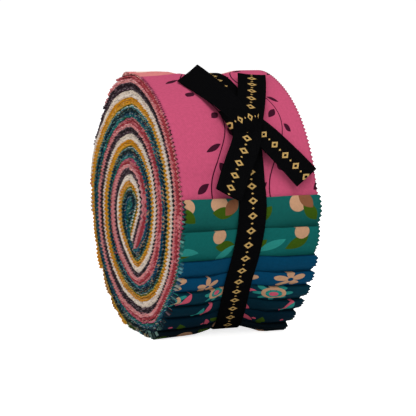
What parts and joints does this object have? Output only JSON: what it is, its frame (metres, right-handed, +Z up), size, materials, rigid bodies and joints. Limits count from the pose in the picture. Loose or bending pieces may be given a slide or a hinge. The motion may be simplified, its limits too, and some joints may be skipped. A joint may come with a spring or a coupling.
{
  "type": "roll of quilting fabric strips",
  "caption": "Roll of folded quilting cotton strips wound together in a spiral, with pinked edges, tied round the waist with a narrow ribbon.",
  "frame": {"origin": "under the middle of the part's box, on the surface that it rests on", "axes": "+X along the roll's axis, -Y towards the tied knot in front, +Z up"},
  "size_m": [0.0636, 0.1238, 0.1203],
  "materials": {
    "quilting_cotton": "matte",
    "woven_ribbon": "satin"
  },
  "bodies": {
    "root": {"fabric_roll": "quilting_cotton", "ribbon": "woven_ribbon"}
  },
  "joints": []
}
